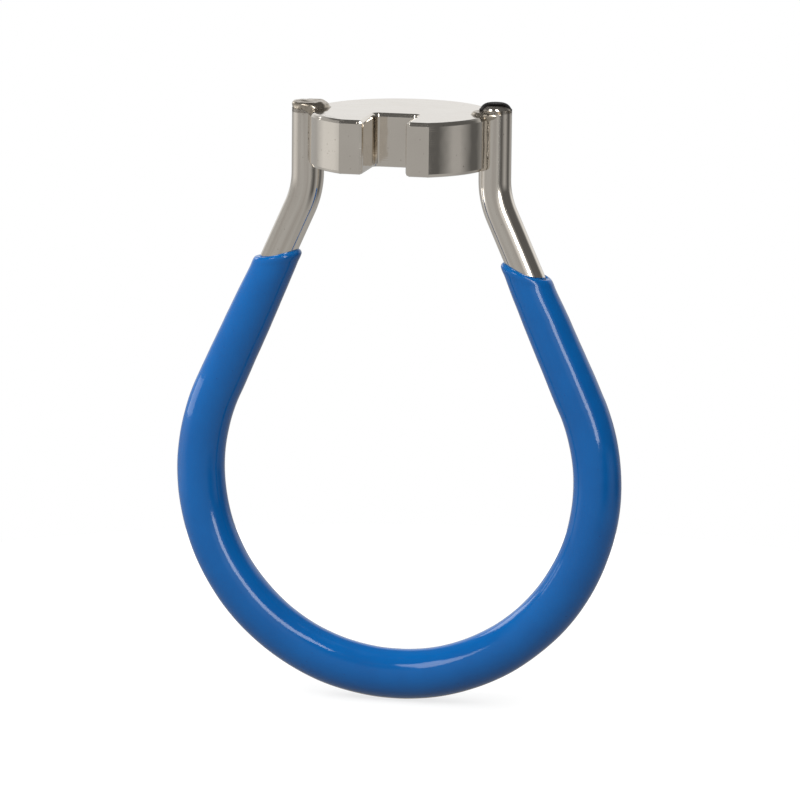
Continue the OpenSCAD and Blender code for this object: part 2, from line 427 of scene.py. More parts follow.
def nickel_plated_drawn_wire(colours):
    """Cold drawn steel wire, bright nickel plated: the die leaves faint lines along the wire, which
    stretch its reflections lengthwise."""
    material, tree = new_material("nickel_plated_drawn_wire")
    place = add_node(tree, "ShaderNodeAttribute", {"attribute_name": "on_wire"})
    # Die lines, 0.12 mm apart round the wire and 40 times as long
    drawn = add_node(tree, "ShaderNodeMapping", {"Scale": (1.0, 1.0, 0.025)},
                     {"Vector": place.outputs["Vector"]})
    lines = add_node(tree, "ShaderNodeTexNoise", {"Scale": per_mm(0.12), "Detail": 3.0, "Roughness": 0.6},
                     {"Vector": drawn.outputs[0]})
    broad = add_node(tree, "ShaderNodeTexNoise", {"Scale": per_mm(0.5), "Detail": 2.0},
                     {"Vector": drawn.outputs[0]})
    clouds = add_node(tree, "ShaderNodeTexNoise", {"Scale": per_mm(2.5), "Detail": 4.0, "Roughness": 0.6},
                      {"Vector": place.outputs["Vector"]})
    pits = add_node(tree, "ShaderNodeTexVoronoi", {"Scale": per_mm(0.6)},
                    {"Vector": place.outputs["Vector"]})
    pit = add_node(tree, "ShaderNodeMapRange", {"From Min": 0.11, "From Max": 0.05},
                   {"Value": pits.outputs["Distance"]})
    streak = add_node(tree, "ShaderNodeMapRange", {"From Min": 0.4, "From Max": 0.75, "To Max": 0.5},
                      {"Value": broad.outputs["Fac"]})
    worn = add_node(tree, "ShaderNodeMath", {"operation": "MAXIMUM"},
                    {0: streak.outputs[0], 1: pit.outputs[0]})
    plated = add_node(tree, "ShaderNodeMix",
                      {"data_type": "RGBA", 6: colours.nickel, 7: colours.nickel_shade},
                      {0: worn.outputs[0]})
    # Painted dark reflection and painted shade over the right wire end, and dark spots on the left one,
    # darken and dull the plating
    reflection_and_spots = add_node(tree, "ShaderNodeAttribute", {"attribute_name": "burnt"})
    tone = add_node(tree, "ShaderNodeMix", {"data_type": "RGBA", 7: colours.burnt},
                    {0: reflection_and_spots.outputs["Fac"], 6: plated.outputs[2]})
    dull = add_node(tree, "ShaderNodeMapRange",
                    {"From Min": 0.3, "From Max": 0.7, "To Min": 0.06, "To Max": 0.12},
                    {"Value": clouds.outputs["Fac"]})
    rough = add_node(tree, "ShaderNodeMath", {"operation": "MULTIPLY_ADD", 1: 0.45},
                     {0: reflection_and_spots.outputs["Fac"], 2: dull.outputs[0]})
    fine = add_node(tree, "ShaderNodeBump", {"Strength": 0.35, "Distance": 0.01 * MM},
                    {"Height": lines.outputs["Fac"]})
    deep = add_node(tree, "ShaderNodeBump", {"Strength": 0.3, "Distance": 0.015 * MM, "invert": True},
                    {"Height": pit.outputs[0], "Normal": fine.outputs[0]})
    skin = add_node(tree, "ShaderNodeBsdfPrincipled", {"Metallic": 1.0},
                    {"Base Color": tone.outputs[2], "Roughness": rough.outputs[0],
                     "Normal": deep.outputs[0]})
    add_node(tree, "ShaderNodeOutputMaterial", links={"Surface": skin.outputs[0]})
    return material


def nickel_plated_braze(colours):
    """Brass braze that ran and froze, under thin nickel: smooth but lumpy, warmer than the steel, with
    pinholes where flux was trapped."""
    material, tree = new_material("nickel_plated_braze")
    place = add_node(tree, "ShaderNodeTexCoord")
    lumps = add_node(tree, "ShaderNodeTexNoise", {"Scale": per_mm(0.8), "Detail": 4.0, "Roughness": 0.55},
                     {"Vector": place.outputs["Object"]})
    grain = add_node(tree, "ShaderNodeTexNoise", {"Scale": per_mm(0.12), "Detail": 3.0},
                     {"Vector": place.outputs["Object"]})
    pinholes = add_node(tree, "ShaderNodeTexVoronoi", {"Scale": per_mm(0.55)},
                        {"Vector": place.outputs["Object"]})
    hole = add_node(tree, "ShaderNodeMapRange", {"From Min": 0.2, "From Max": 0.1},
                    {"Value": pinholes.outputs["Distance"]})
    stain = add_node(tree, "ShaderNodeMapRange", {"From Min": 0.5, "From Max": 0.8, "To Max": 0.6},
                     {"Value": lumps.outputs["Fac"]})
    bare = add_node(tree, "ShaderNodeMath", {"operation": "MAXIMUM"},
                    {0: stain.outputs[0], 1: hole.outputs[0]})
    plated = add_node(tree, "ShaderNodeMix",
                      {"data_type": "RGBA", 6: colours.braze, 7: colours.braze_shade},
                      {0: bare.outputs[0]})
    # Painted dark reflection and painted shade over the right wire end, and dark spots on the left one,
    # darken and dull the braze
    reflection_and_spots = add_node(tree, "ShaderNodeAttribute", {"attribute_name": "burnt"})
    tone = add_node(tree, "ShaderNodeMix", {"data_type": "RGBA", 7: colours.burnt},
                    {0: reflection_and_spots.outputs["Fac"], 6: plated.outputs[2]})
    dull = add_node(tree, "ShaderNodeMapRange",
                    {"From Min": 0.3, "From Max": 0.75, "To Min": 0.18, "To Max": 0.32},
                    {"Value": grain.outputs["Fac"]})
    rough = add_node(tree, "ShaderNodeMath", {"operation": "MULTIPLY_ADD", 1: 0.4},
                     {0: reflection_and_spots.outputs["Fac"], 2: dull.outputs[0]})
    wavy = add_node(tree, "ShaderNodeBump", {"Strength": 0.3, "Distance": 0.04 * MM},
                    {"Height": lumps.outputs["Fac"]})
    fine = add_node(tree, "ShaderNodeBump", {"Strength": 0.3, "Distance": 0.01 * MM},
                    {"Height": grain.outputs["Fac"], "Normal": wavy.outputs[0]})
    deep = add_node(tree, "ShaderNodeBump", {"Strength": 0.6, "Distance": 0.03 * MM, "invert": True},
                    {"Height": hole.outputs[0], "Normal": fine.outputs[0]})
    skin = add_node(tree, "ShaderNodeBsdfPrincipled", {"Metallic": 1.0},
                    {"Base Color": tone.outputs[2], "Roughness": rough.outputs[0],
                     "Normal": deep.outputs[0]})
    add_node(tree, "ShaderNodeOutputMaterial", links={"Surface": skin.outputs[0]})
    return material


def dipped_vinyl(colours):
    """Plastisol vinyl, dipped hot and cured: it levels to a glossy skin with a faint orange peel, is
    paler where it is thin, and shows a few specks and rub marks."""
    material, tree = new_material("dipped_vinyl")
    place = add_node(tree, "ShaderNodeAttribute", {"attribute_name": "on_wire"})
    depth = add_node(tree, "ShaderNodeAttribute", {"attribute_name": "coat_depth"})
    spot = add_node(tree, "ShaderNodeTexCoord")
    clouds = add_node(tree, "ShaderNodeTexNoise", {"Scale": per_mm(5.0), "Detail": 4.0, "Roughness": 0.55},
                      {"Vector": spot.outputs["Object"]})
    cloud = add_node(tree, "ShaderNodeMapRange", {"From Min": 0.35, "From Max": 0.7},
                     {"Value": clouds.outputs["Fac"]})
    body = add_node(tree, "ShaderNodeMix", {"data_type": "RGBA", 6: colours.vinyl, 7: colours.vinyl_deep},
                    {0: cloud.outputs[0]})
    thin = add_node(tree, "ShaderNodeMapRange", {"From Min": 0.45, "From Max": 0.1},
                    {"Value": depth.outputs["Fac"]})
    skin_tone = add_node(tree, "ShaderNodeMix", {"data_type": "RGBA", 7: colours.vinyl_thin},
                         {0: thin.outputs[0], 6: body.outputs[2]})
    # Dust in the dip shows as specks of about 0.1 mm.
    dust = add_node(tree, "ShaderNodeTexVoronoi", {"Scale": per_mm(1.1)},
                    {"Vector": spot.outputs["Object"]})
    speck = add_node(tree, "ShaderNodeMapRange", {"From Min": 0.07, "From Max": 0.04, "To Max": 0.5},
                     {"Value": dust.outputs["Distance"]})
    tone = add_node(tree, "ShaderNodeMix", {"data_type": "RGBA", 7: colours.dust},
                    {0: speck.outputs[0], 6: skin_tone.outputs[2]})
    peel = add_node(tree, "ShaderNodeTexNoise", {"Scale": per_mm(0.9), "Detail": 2.0},
                    {"Vector": spot.outputs["Object"]})
    grain = add_node(tree, "ShaderNodeTexNoise", {"Scale": per_mm(0.15), "Detail": 2.0},
                     {"Vector": spot.outputs["Object"]})
    drawn = add_node(tree, "ShaderNodeMapping", {"Scale": (1.0, 1.0, 0.1)},
                     {"Vector": place.outputs["Vector"]})
    rubs = add_node(tree, "ShaderNodeTexNoise", {"Scale": per_mm(0.35), "Detail": 5.0, "Roughness": 0.7},
                    {"Vector": drawn.outputs[0]})
    rub = add_node(tree, "ShaderNodeMapRange", {"From Min": 0.58, "From Max": 0.75, "To Max": 0.1},
                   {"Value": rubs.outputs["Fac"]})
    haze = add_node(tree, "ShaderNodeMapRange",
                    {"From Min": 0.3, "From Max": 0.7, "To Min": 0.06, "To Max": 0.12},
                    {"Value": clouds.outputs["Fac"]})
    rough = add_node(tree, "ShaderNodeMath", {"operation": "ADD"}, {0: rub.outputs[0], 1: haze.outputs[0]})
    soft = add_node(tree, "ShaderNodeBump", {"Strength": 0.35, "Distance": 0.03 * MM},
                    {"Height": peel.outputs["Fac"]})
    fine = add_node(tree, "ShaderNodeBump", {"Strength": 0.2, "Distance": 0.006 * MM},
                    {"Height": grain.outputs["Fac"], "Normal": soft.outputs[0]})
    skin = add_node(tree, "ShaderNodeBsdfPrincipled", {"IOR": 1.47},
                    {"Base Color": tone.outputs[2], "Roughness": rough.outputs[0],
                     "Normal": fine.outputs[0]})
    add_node(tree, "ShaderNodeOutputMaterial", links={"Surface": skin.outputs[0]})
    return material


# Pieces

class WRENCH_OT_head(bpy.types.Operator):
    """Turn the round head, mill its flat, slot and grooves, and break its edges"""
    bl_idname = "wrench.head"
    bl_label = "Slotted head"

    def execute(self, context):
        sizes = context.scene.wrench_sizes
        path = wrench_path(sizes)
        height = (HEAD_HIGH.z - HEAD_LOW.z) / MM
        middle = (HEAD_HIGH.z + HEAD_LOW.z) / 2 / MM
        flat_y = path.axis_y - path.head_r + sizes.flat_cut / MM
        deselect()
        bpy.ops.mesh.primitive_cylinder_add(
            vertices=256, radius=path.head_r, depth=height, location=(0, path.axis_y, middle)
        )
        head = context.object
        bpy.ops.object.transform_apply(location=True, rotation=True, scale=True)
        edit(head, "VERT")
        bpy.ops.mesh.select_all(action="SELECT")
        bpy.ops.mesh.bisect(plane_co=(0, flat_y, 0), plane_no=(0, -1, 0), use_fill=True, clear_outer=True)
        cut(head, self.slot_cutter(context, sizes, path, height))

        def sharp(edge):
            return len(edge.link_faces) == 2 and edge.calc_face_angle(0) > math.radians(60)

        edit(head, "EDGE")
        pick(head, "EDGE", sharp)
        bpy.ops.mesh.bevel(offset=sizes.edge_break / MM, segments=2, affect="EDGES", clamp_overlap=False)
        # The faces round the slot are split where it ends, because notched faces don't fill well.
        beside = (sizes.slot_width / 2 + sizes.edge_break) / MM + 0.1
        for place, normal in (((beside, 0, 0), (1, 0, 0)), ((-beside, 0, 0), (1, 0, 0)),
                              ((0, beside, 0), (0, 1, 0))):
            bpy.ops.mesh.select_all(action="SELECT")
            bpy.ops.mesh.bisect(plane_co=place, plane_no=normal)
        deselect()
        for side in (-1, 1):
            bpy.ops.mesh.primitive_cylinder_add(
                vertices=96, radius=path.wire_r + sizes.groove_gap / MM, depth=height * 2,
                location=(side * path.leg_x, path.axis_y, middle)
            )
            cut(head, context.object, "MANIFOLD")
        add_modifier(head, "BEVEL", width=sizes.edge_soft / MM, segments=3, limit_method="ANGLE",
                     angle_limit=math.radians(20), use_clamp_overlap=True, harden_normals=False)
        choose(head)
        bpy.ops.object.shade_smooth()
        add_modifier(head, "WEIGHTED_NORMAL", mode="FACE_AREA", weight=100, keep_sharp=False)
        finish_piece(head, "slotted_head", nickel_plated_turned_steel(context.scene.wrench_colours),
                     "head_steel", "head")
        return {"FINISHED"}

    def slot_cutter(self, context, sizes, path, height):
        """Block as wide as the slot, with rounded inner corners, run out past the flat."""
        half = sizes.slot_width / 2 / MM
        reach = path.head_r
        deselect()
        bpy.ops.mesh.primitive_cube_add(size=1, location=(0, half - reach / 2, 0),
                                        scale=(2 * half, reach, height * 2))
        block = context.object
        bpy.ops.object.transform_apply(location=True, rotation=True, scale=True)
        edit(block, "EDGE")
        pick(block, "EDGE", lambda e: all(v.co.y > half - 0.1 for v in e.verts)
             and abs(e.verts[0].co.z - e.verts[1].co.z) > 1)
        bpy.ops.mesh.bevel(offset=sizes.slot_corner / MM, segments=10, affect="EDGES")
        deselect()
        return block


class WRENCH_OT_wire(bpy.types.Operator):
    """Extrude and spin the wire from its right end round the loop to its left end"""
    bl_idname = "wrench.wire"
    bl_label = "Bent wire"

    def execute(self, context):
        sizes = context.scene.wrench_sizes
        path = wrench_path(sizes)
        turn = sizes.arm_angle
        right_top = path.top_z + sizes.right_rise / MM
        left_top = path.top_z + sizes.left_rise / MM
        down = Vector((path.sin, 0, -path.cos)) * path.arm_len
        deselect()
        bpy.ops.mesh.primitive_circle_add(vertices=96, radius=path.wire_r,
                                          location=(path.leg_x, path.axis_y, right_top))
        wire = context.object
        bpy.ops.object.transform_apply(location=True, rotation=True, scale=True)
        edit(wire, "EDGE")
        bpy.ops.mesh.select_all(action="SELECT")
        extrude_along(Vector((0, 0, path.bend_z - right_top)), 12)
        spin_about(path, path.leg_x + path.bend_r, path.bend_z, -turn, 14)
        extrude_along(down, 30)
        spin_about(path, 0, path.loop_z, math.pi + 2 * turn, 120)
        extrude_along(Vector((down.x, 0, -down.z)), 30)
        spin_about(path, -(path.leg_x + path.bend_r), path.bend_z, -turn, 14)
        extrude_along(Vector((0, 0, left_top - path.bend_z)), 12)
        for end in (right_top, left_top):
            side = 1 if end == right_top else -1
            pick(wire, "EDGE", lambda e: e.is_boundary and e.verts[0].co.x * side > 0)
            bpy.ops.mesh.edge_face_add()
        pick(wire, "EDGE", lambda e: any(len(f.verts) > 4 for f in e.link_faces))
        bpy.ops.mesh.bevel(offset=sizes.end_round / MM, segments=10, affect="EDGES", clamp_overlap=False)
        bpy.ops.mesh.select_all(action="SELECT")
        bpy.ops.mesh.normals_make_consistent(inside=False)
        deselect()
        choose(wire)
        bpy.ops.object.shade_smooth_by_angle(angle=math.radians(30))
        place_on_wire(wire, path)
        paint_dark_reflection_and_spots(wire, path)
        finish_piece(wire, "bent_wire", nickel_plated_drawn_wire(context.scene.wrench_colours),
                     "wire_steel", "handle_wire")
        return {"FINISHED"}


class WRENCH_OT_coat(bpy.types.Operator):
    """Draw the coat as two tubes along the loop, shape its thickness and join them at the lips"""
    bl_idname = "wrench.coat"
    bl_label = "Vinyl dip coat"

    sides = 96
    arm_rings = 44

    def execute(self, context):
        sizes = context.scene.wrench_sizes
        path = wrench_path(sizes)
        outer = self.tube(context, path)
        inner = self.tube(context, path)
        shape(outer, lambda co: self.outer_place(sizes, path, co))
        shape(inner, lambda co: self.bore_place(sizes, path, co))
        deselect()
        outer.select_set(True)
        inner.select_set(True)
        context.view_layer.objects.active = outer
        bpy.ops.object.join()
        edit(outer, "EDGE")
        for side in (-1, 1):
            pick(outer, "EDGE", lambda e: e.is_boundary and e.verts[0].co.x * side > 0)
            bpy.ops.mesh.bridge_edge_loops()
        bpy.ops.mesh.select_all(action="SELECT")
        bpy.ops.mesh.normals_make_consistent(inside=False)
        deselect()
        choose(outer)
        bpy.ops.object.shade_smooth()
        place_on_wire(outer, path)
        self.keep_depth(outer, path)
        finish_piece(outer, "vinyl_dip_coat", dipped_vinyl(context.scene.wrench_colours),
                     "blue_vinyl", "grip")
        return {"FINISHED"}

    def tube(self, context, path):
        """Tube along both arms and the loop, with its rings closer together near its ends."""
        deselect()
        top = path.foot + path.up * path.arm_len
        bpy.ops.mesh.primitive_circle_add(
            vertices=self.sides, radius=path.wire_r, location=(top.x, path.axis_y, top.y),
            rotation=(0, -math.asin(path.sin), 0)
        )
        tube = context.object
        bpy.ops.object.transform_apply(location=True, rotation=True, scale=True)
        edit(tube, "EDGE")
        bpy.ops.mesh.select_all(action="SELECT")
        down = Vector((path.sin, 0, -path.cos))
        steps = [((i + 1) ** 2 - i ** 2) / self.arm_rings ** 2 for i in range(self.arm_rings)]
        for step in steps:
            extrude_along(down * path.arm_len * step, 1)
        spin_about(path, 0, path.loop_z, 2 * path.half_turn, 150)
        up = Vector((down.x, 0, -down.z))
        for step in reversed(steps):
            extrude_along(up * path.arm_len * step, 1)
        deselect()
        return tube

    def dip_place(self, path, co):
        """Side, direction round the wire, and distance below the dip line along the arm or loop."""
        distance, outward, across = along_wire(path, co)
        side = 1 if distance > 0 else -1
        spoke = Vector((outward, across)).normalized()
        run = abs(distance) - path.loop_r * path.half_turn
        return side, spoke, run

    def dip_height(self, sizes, path, side, spoke, radius):
        """How far up the arm the dip line lies, for a direction round the wire and a radius."""
        slope = math.tan(sizes.dip_fall + side * sizes.dip_lean)
        run = path.arm_len - sizes.bare_arm / MM
        dip = path.foot + path.up * run
        level = -side * sizes.dip_shift / MM
        u = spoke.x * radius
        rise = (level - u * (path.sin + slope * path.cos)) / (path.cos - slope * path.sin)
        wave = 0.07 * noise.noise(Vector((spoke.x * 1.3, spoke.y * 1.3, side * 3.7)))
        return run + rise + wave

    def thickness(self, sizes, path, spoke, depth, co):
        """Thickness of the coat at a distance below the dip line."""
        growth_length = 7.0
        bead_height, bead_depth, bead_width = 0.05, 0.55, 0.4
        long_wave, short_wave = 0.035, 0.012
        edge, body = sizes.coat_edge / MM, sizes.coat_side / MM
        lip = sizes.coat_lip / MM
        grown = edge + (body - edge) * (1 - math.exp(-depth / growth_length))
        low = max(0.0, -(co.z - path.loop_z) / path.loop_r)
        inside = (1 - spoke.x) / 2
        grown += sizes.coat_sag / MM * low ** 2 * inside
        grown += bead_height * math.exp(-((depth - bead_depth) / bead_width) ** 2)
        wave = noise.noise(co * 0.22 + Vector((7, 0, 0))) * long_wave + noise.noise(co * 0.6) * short_wave
        grown += wave * min(1.0, depth / 2)
        rounding = min(1.0, depth / lip)
        return grown * math.sqrt(max(0.0, 1 - (1 - rounding) ** 2))

    def outer_place(self, sizes, path, co):
        """Place of an outer vertex, given its place on the plain tube."""
        side, spoke, run = self.dip_place(path, co)
        sunk = 0.03
        if run <= 0:
            depth = path.arm_len - sizes.bare_arm / MM - run
            radius = path.wire_r + self.thickness(sizes, path, spoke, depth, co)
            centre = Vector((0, path.loop_z))
            flat = Vector((abs(co.x), co.z)) - centre
            axis = centre + flat.normalized() * path.loop_r
            place = axis + flat.normalized() * spoke.x * radius
        else:
            share = run / path.arm_len
            height = self.dip_height(sizes, path, side, spoke, path.wire_r + sizes.coat_edge / MM)
            depth = height * (1 - share)
            grown = self.thickness(sizes, path, spoke, depth, co)
            radius = path.wire_r - sunk + grown + min(sunk, depth)
            place = path.foot + path.up * (height * share) + path.out * spoke.x * radius
        return Vector((side * place.x, path.axis_y + spoke.y * radius, place.y))

    def bore_place(self, sizes, path, co):
        """Place of a vertex of the bore, which lies on the wire."""
        side, spoke, run = self.dip_place(path, co)
        if run <= 0:
            return co
        share = run / path.arm_len
        height = self.dip_height(sizes, path, side, spoke, path.wire_r) - 0.05
        place = path.foot + path.up * (height * share) + path.out * spoke.x * path.wire_r
        return Vector((side * place.x, path.axis_y + spoke.y * path.wire_r, place.y))

    def keep_depth(self, obj, path):
        """Keeps the coat's thickness at each vertex as an attribute, in millimetres."""
        attribute = obj.data.attributes.new("coat_depth", "FLOAT", "POINT")
        for vertex in obj.data.vertices:
            _, outward, across = along_wire(path, vertex.co)
            attribute.data[vertex.index].value = math.hypot(outward, across) - path.wire_r


class WRENCH_OT_braze(bpy.types.Operator):
    """Melt wire, rim and a braze collar into one lump, let it flow, and cut wire and head out of it"""
    bl_idname = "wrench.braze"
    bl_label = "Braze joints"

    def execute(self, context):
        sizes = context.scene.wrench_sizes
        path = wrench_path(sizes)
        material = nickel_plated_braze(context.scene.wrench_colours)
        for side, node in ((-1, "left_braze"), (1, "right_braze")):
            solids = [self.rod(context, path, side), self.rim(context, sizes, path, side)]
            solids.append(self.collar(context, path, side))
            deselect()
            for solid in solids:
                solid.select_set(True)
            joint = solids[0]
            context.view_layer.objects.active = joint
            bpy.ops.object.join()
            add_modifier(joint, "REMESH", mode="VOXEL", voxel_size=0.06, adaptivity=0.0)
            add_modifier(joint, "SMOOTH", factor=0.5, iterations=60)
            self.slump(joint, path, side)
            add_modifier(joint, "SMOOTH", factor=0.5, iterations=4)
            for piece in ("slotted_head", "bent_wire"):
                cut(joint, copy_in_mm(piece), "MANIFOLD")
            choose(joint)
            bpy.ops.object.shade_smooth_by_angle(angle=math.radians(50))
            paint_dark_reflection_and_spots(joint, path)
            finish_piece(joint, f"{node}_joint", material, "braze_alloy", node)
        return {"FINISHED"}

    def rod(self, context, path, side):
        """Piece of the wire, up to where the braze wets it."""
        below, above = 0.45, 0.5 if side < 0 else 0.35
        low, high = -path.top_z - below, path.top_z + above
        deselect()
        bpy.ops.mesh.primitive_cylinder_add(
            vertices=96, radius=path.wire_r, depth=high - low,
            location=(side * path.leg_x, path.axis_y, (high + low) / 2)
        )
        bpy.ops.object.transform_apply(location=True, rotation=True, scale=True)
        return context.object

    def rim(self, context, sizes, path, side):
        """Piece of the head beside the wire."""
        deselect()
        bpy.ops.mesh.primitive_cylinder_add(
            vertices=256, radius=path.head_r, depth=2 * path.top_z, location=(0, path.axis_y, 0)
        )
        rim = context.object
        bpy.ops.object.transform_apply(location=True, rotation=True, scale=True)
        edit(rim, "EDGE")
        pick(rim, "EDGE", lambda e: abs(e.verts[0].co.z - e.verts[1].co.z) < 0.1)
        bpy.ops.mesh.bevel(offset=sizes.edge_break / MM + 0.1, segments=1, affect="EDGES")
        inner_end, half_width = 6.4, 2.6
        for spot, normal in (((side * inner_end, 0, 0), (-side, 0, 0)),
                             ((0, path.axis_y - half_width, 0), (0, -1, 0)),
                             ((0, path.axis_y + half_width, 0), (0, 1, 0))):
            bpy.ops.mesh.select_all(action="SELECT")
            bpy.ops.mesh.bisect(plane_co=spot, plane_no=normal, use_fill=True, clear_outer=True)
        deselect()
        return rim

    def collar(self, context, path, side):
        """Ring of braze round the wire on the head's upper face, set towards the head's axis so that it
        stays inside the wire's outer side."""
        inset, narrowing = (0.5, 0.1) if side > 0 else (0.35, 0.2)
        deselect()
        bpy.ops.mesh.primitive_torus_add(
            major_segments=64, minor_segments=24, major_radius=path.wire_r - narrowing, minor_radius=0.36,
            location=(side * (path.leg_x - inset), path.axis_y, path.top_z)
        )
        bpy.ops.object.transform_apply(location=True, rotation=True, scale=True)
        return context.object

    def slump(self, joint, path, side):
        """Draws the lump in, so that only hollow fillets stay proud, and swells the left one into an
        uneven crown over the covered wire end."""
        drawn_in, uneven = 0.04, 0.035
        crown_from, crown_rise, crown_start, crown_reach = 0.05, 0.3, 6.7, 0.4
        crown, crown_lumps, crown_grain = 0.11, 0.1, 0.02
        places = []
        for vertex in joint.data.vertices:
            co = vertex.co
            swell = uneven * noise.noise(co * 0.7 + Vector((side * 5, 0, 0))) - drawn_in
            if side < 0:
                above = min(1.0, max(0.0, (co.z - path.top_z + crown_from) / crown_rise))
                above *= min(1.0, max(0.0, (abs(co.x) - crown_start) / crown_reach))
                height = crown + crown_lumps * noise.noise(co * 1.1) + crown_grain * noise.noise(co * 2.2)
                swell += above * height
            places.append(co + vertex.normal * swell)
        for vertex, place in zip(joint.data.vertices, places):
            vertex.co = place
        joint.data.update()


# Stage

class WRENCH_OT_stage(bpy.types.Operator):
    """Lay the floor, put up the walls and cards that metal mirrors, hang the lamps, stand the camera"""
    bl_idname = "wrench.stage"
    bl_label = "Stage"

    def execute(self, context):
        colours = context.scene.wrench_colours
        low, high = CAD_BOX
        middle = (low + high) / 2
        self.floor(colours, low.z)
        self.room(context)
        self.walls(colours)
        self.lamp("right_strip", middle, (32, 27), (12, 58), (0.1, 0.5), 5.5)
        self.lamp("upper_softbox", middle, (-32, 39), (-32, 90), (0.12, 0.16), 4.0)
        self.lamp("back_strip", middle, (-122, 25), (-122, 90), (0.15, 0.12), 2.4)
        self.lamp("left_card", middle, (-90, 2.6), (-90, 90), (0.026, 0.009), 1.8, 0.054)
        self.camera(context, middle)
        context.scene.view_settings.view_transform = "Standard"
        return {"FINISHED"}

    def towards(self, azimuth, elevation):
        """Direction from the object, with azimuth 0 in front and 90 on the right, in degrees."""
        a, e = math.radians(azimuth), math.radians(elevation)
        return Vector((math.sin(a) * math.cos(e), -math.cos(a) * math.cos(e), math.sin(e)))

    def reflected_only(self, obj):
        """Keeps a stage piece out of everything except the reflections in glossy surfaces."""
        obj.visible_camera = False
        obj.visible_diffuse = False
        obj.visible_transmission = False
        obj.visible_shadow = False

    def seen_rays(self, tree):
        """1 for rays of the camera and for those that gloss and glass send on."""
        ray = add_node(tree, "ShaderNodeLightPath")
        seen = add_node(tree, "ShaderNodeMath", {"operation": "ADD"},
                        {0: ray.outputs["Is Camera Ray"], 1: ray.outputs["Is Glossy Ray"]})
        every = add_node(tree, "ShaderNodeMath", {"operation": "ADD", "use_clamp": True},
                         {0: seen.outputs[0], 1: ray.outputs["Is Transmission Ray"]})
        return every.outputs[0]

    def floor(self, colours, level):
        """Pale round floor that keeps the object's shadow. The camera sees it as white; metal doesn't,
        because the bottom of the walls lies over it."""
        centre = (0, 0.0045, level)
        deselect()
        bpy.ops.mesh.primitive_circle_add(vertices=128, radius=0.08, fill_type="NGON", location=centre)
        floor = bpy.context.object
        floor.name = "floor"
        bpy.ops.object.transform_apply(location=True, rotation=True, scale=True)
        material, tree = new_material("pale_floor")
        matte = add_node(tree, "ShaderNodeBsdfDiffuse", {"Color": colours.floor})
        place = add_node(tree, "ShaderNodeTexCoord")
        reach = add_node(tree, "ShaderNodeVectorMath", {"operation": "DISTANCE", 1: centre},
                         {0: place.outputs["Object"]})
        # The lift reaches full white before the floor's edge, so that the edge never shows.
        edge = add_node(tree, "ShaderNodeMapRange", {"From Min": 0.03, "From Max": 0.078, "To Min": 0.75},
                        {"Value": reach.outputs["Value"]})
        glow = add_node(tree, "ShaderNodeMath", {"operation": "MULTIPLY"},
                        {0: self.seen_rays(tree), 1: edge.outputs[0]})
        lift = add_node(tree, "ShaderNodeEmission", links={"Strength": glow.outputs[0]})
        both = add_node(tree, "ShaderNodeAddShader", links={0: matte.outputs[0], 1: lift.outputs[0]})
        add_node(tree, "ShaderNodeOutputMaterial", links={"Surface": both.outputs[0]})
        floor.data.materials.append(material)

    def room(self, context):
        """World: a white backdrop, and soft daylight that is stronger from the upper left. The walls
        close round the object, so metal doesn't see this backdrop."""
        world = bpy.data.worlds.new("studio")
        context.scene.world = world
        world.use_nodes = True
        tree = world.node_tree
        tree.nodes.clear()
        place = add_node(tree, "ShaderNodeTexCoord")
        split = add_node(tree, "ShaderNodeSeparateXYZ", links={0: place.outputs["Generated"]})
        side = add_node(tree, "ShaderNodeMath", {"operation": "MULTIPLY_ADD", 1: -1.3, 2: 0.88},
                        {0: split.outputs["X"]})
        tilted = add_node(tree, "ShaderNodeMath", {"operation": "MULTIPLY_ADD", 1: 1.05},
                          {0: split.outputs["Z"], 2: side.outputs[0]})
        daylight = add_node(tree, "ShaderNodeMath", {"operation": "MAXIMUM", 1: 0.03},
                            {0: tilted.outputs[0]})
        level = add_node(tree, "ShaderNodeMix", {"data_type": "FLOAT", 3: 1.0},
                         {0: self.seen_rays(tree), 2: daylight.outputs[0]})
        light = add_node(tree, "ShaderNodeBackground", {"Color": (1, 1, 1, 1)},
                         {"Strength": level.outputs[0]})
        add_node(tree, "ShaderNodeOutputWorld", links={"Surface": light.outputs[0]})

    def painted_ring(self, tree, about, wall, cards):
        """Paint round the stage: a plain wall with cards, each from one direction to another in degrees,
        whose edges fade into it."""
        fade = 20
        stops = [(-180, wall)]
        for start, end, tone in cards:
            stops += [(start - fade, wall), (start, tone), (end, tone), (end + fade, wall)]
        stops.append((180, wall))
        return add_node(tree, "ShaderNodeValToRGB", links={0: about.outputs["Fac"]},
                        stops=[(degrees / 360 + 0.5, tone) for degrees, tone in stops])

